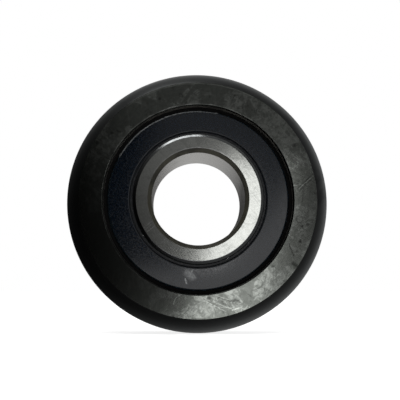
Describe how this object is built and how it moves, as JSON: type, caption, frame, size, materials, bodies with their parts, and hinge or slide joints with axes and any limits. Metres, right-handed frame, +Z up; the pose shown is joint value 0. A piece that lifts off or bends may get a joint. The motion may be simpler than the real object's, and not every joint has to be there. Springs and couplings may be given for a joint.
{
  "type": "track roller",
  "caption": "Sealed track roller: a thick crowned outer ring runs on caged balls round a bored inner ring, with a steel-capped rubber seal on each side.",
  "frame": {"origin": "centre of the roller, on the spin axis and midway between the side faces", "axes": "+Y along the spin axis towards the rear side, +Z up, +X to the right seen from the front"},
  "size_m": [0.1142, 0.028, 0.1142],
  "materials": {
    "roller_steel": "dark ground side faces, satin near-black tread",
    "ground_steel": "bright ground bearing steel",
    "ball_steel": "polished",
    "cage_steel": "pressed sheet, oiled",
    "rivet_steel": "cold headed",
    "seal_cap": "matt blue-black",
    "seal_rubber": "matt nitrile rubber",
    "seal_plate": "zinc plated sheet"
  },
  "bodies": {
    "inner_race": {"inner_ring": "ground_steel"},
    "roller": {"outer_ring": "roller_steel", "seal_cap_front": "seal_cap", "seal_rubber_front": "seal_rubber", "seal_plate_front": "seal_plate", "seal_cap_rear": "seal_cap", "seal_rubber_rear": "seal_rubber", "seal_plate_rear": "seal_plate"},
    "cage": {"cage_front": "cage_steel", "cage_rear": "cage_steel", "cage_rivet_1": "rivet_steel", "cage_rivet_2": "rivet_steel", "cage_rivet_3": "rivet_steel", "cage_rivet_4": "rivet_steel", "cage_rivet_5": "rivet_steel", "cage_rivet_6": "rivet_steel", "cage_rivet_7": "rivet_steel", "cage_rivet_8": "rivet_steel"},
    "rolling_ball_1": {"ball_1": "ball_steel"},
    "rolling_ball_2": {"ball_2": "ball_steel"},
    "rolling_ball_3": {"ball_3": "ball_steel"},
    "rolling_ball_4": {"ball_4": "ball_steel"},
    "rolling_ball_5": {"ball_5": "ball_steel"},
    "rolling_ball_6": {"ball_6": "ball_steel"},
    "rolling_ball_7": {"ball_7": "ball_steel"},
    "rolling_ball_8": {"ball_8": "ball_steel"}
  },
  "joints": [
    {"name": "outer_ring_spin", "type": "hinge", "parent": "inner_race", "child": "roller", "pos_m": [0, 0, 0], "axis": [0, 1, 0], "continuous": true},
    {"name": "cage_spin", "type": "hinge", "parent": "inner_race", "child": "cage", "pos_m": [0, 0, 0], "axis": [0, 1, 0], "continuous": true},
    {"name": "ball_1_spin", "type": "hinge", "parent": "cage", "child": "rolling_ball_1", "pos_m": [0, 0, 0.0334], "axis": [0, 1, 0], "continuous": true},
    {"name": "ball_2_spin", "type": "hinge", "parent": "cage", "child": "rolling_ball_2", "pos_m": [-0.02362, 0, 0.02362], "axis": [0, 1, 0], "continuous": true},
    {"name": "ball_3_spin", "type": "hinge", "parent": "cage", "child": "rolling_ball_3", "pos_m": [-0.0334, 0, 0], "axis": [0, 1, 0], "continuous": true},
    {"name": "ball_4_spin", "type": "hinge", "parent": "cage", "child": "rolling_ball_4", "pos_m": [-0.02362, 0, -0.02362], "axis": [0, 1, 0], "continuous": true},
    {"name": "ball_5_spin", "type": "hinge", "parent": "cage", "child": "rolling_ball_5", "pos_m": [0, 0, -0.0334], "axis": [0, 1, 0], "continuous": true},
    {"name": "ball_6_spin", "type": "hinge", "parent": "cage", "child": "rolling_ball_6", "pos_m": [0.02362, 0, -0.02362], "axis": [0, 1, 0], "continuous": true},
    {"name": "ball_7_spin", "type": "hinge", "parent": "cage", "child": "rolling_ball_7", "pos_m": [0.0334, 0, 0], "axis": [0, 1, 0], "continuous": true},
    {"name": "ball_8_spin", "type": "hinge", "parent": "cage", "child": "rolling_ball_8", "pos_m": [0.02362, 0, 0.02362], "axis": [0, 1, 0], "continuous": true}
  ],
  "couplings": [
    {"joint": "cage_spin", "follows": "outer_ring_spin", "ratio": 0.6129},
    {"joint": "ball_1_spin", "follows": "outer_ring_spin", "ratio": 2.102},
    {"joint": "ball_2_spin", "follows": "outer_ring_spin", "ratio": 2.102},
    {"joint": "ball_3_spin", "follows": "outer_ring_spin", "ratio": 2.102},
    {"joint": "ball_4_spin", "follows": "outer_ring_spin", "ratio": 2.102},
    {"joint": "ball_5_spin", "follows": "outer_ring_spin", "ratio": 2.102},
    {"joint": "ball_6_spin", "follows": "outer_ring_spin", "ratio": 2.102},
    {"joint": "ball_7_spin", "follows": "outer_ring_spin", "ratio": 2.102},
    {"joint": "ball_8_spin", "follows": "outer_ring_spin", "ratio": 2.102}
  ]
}
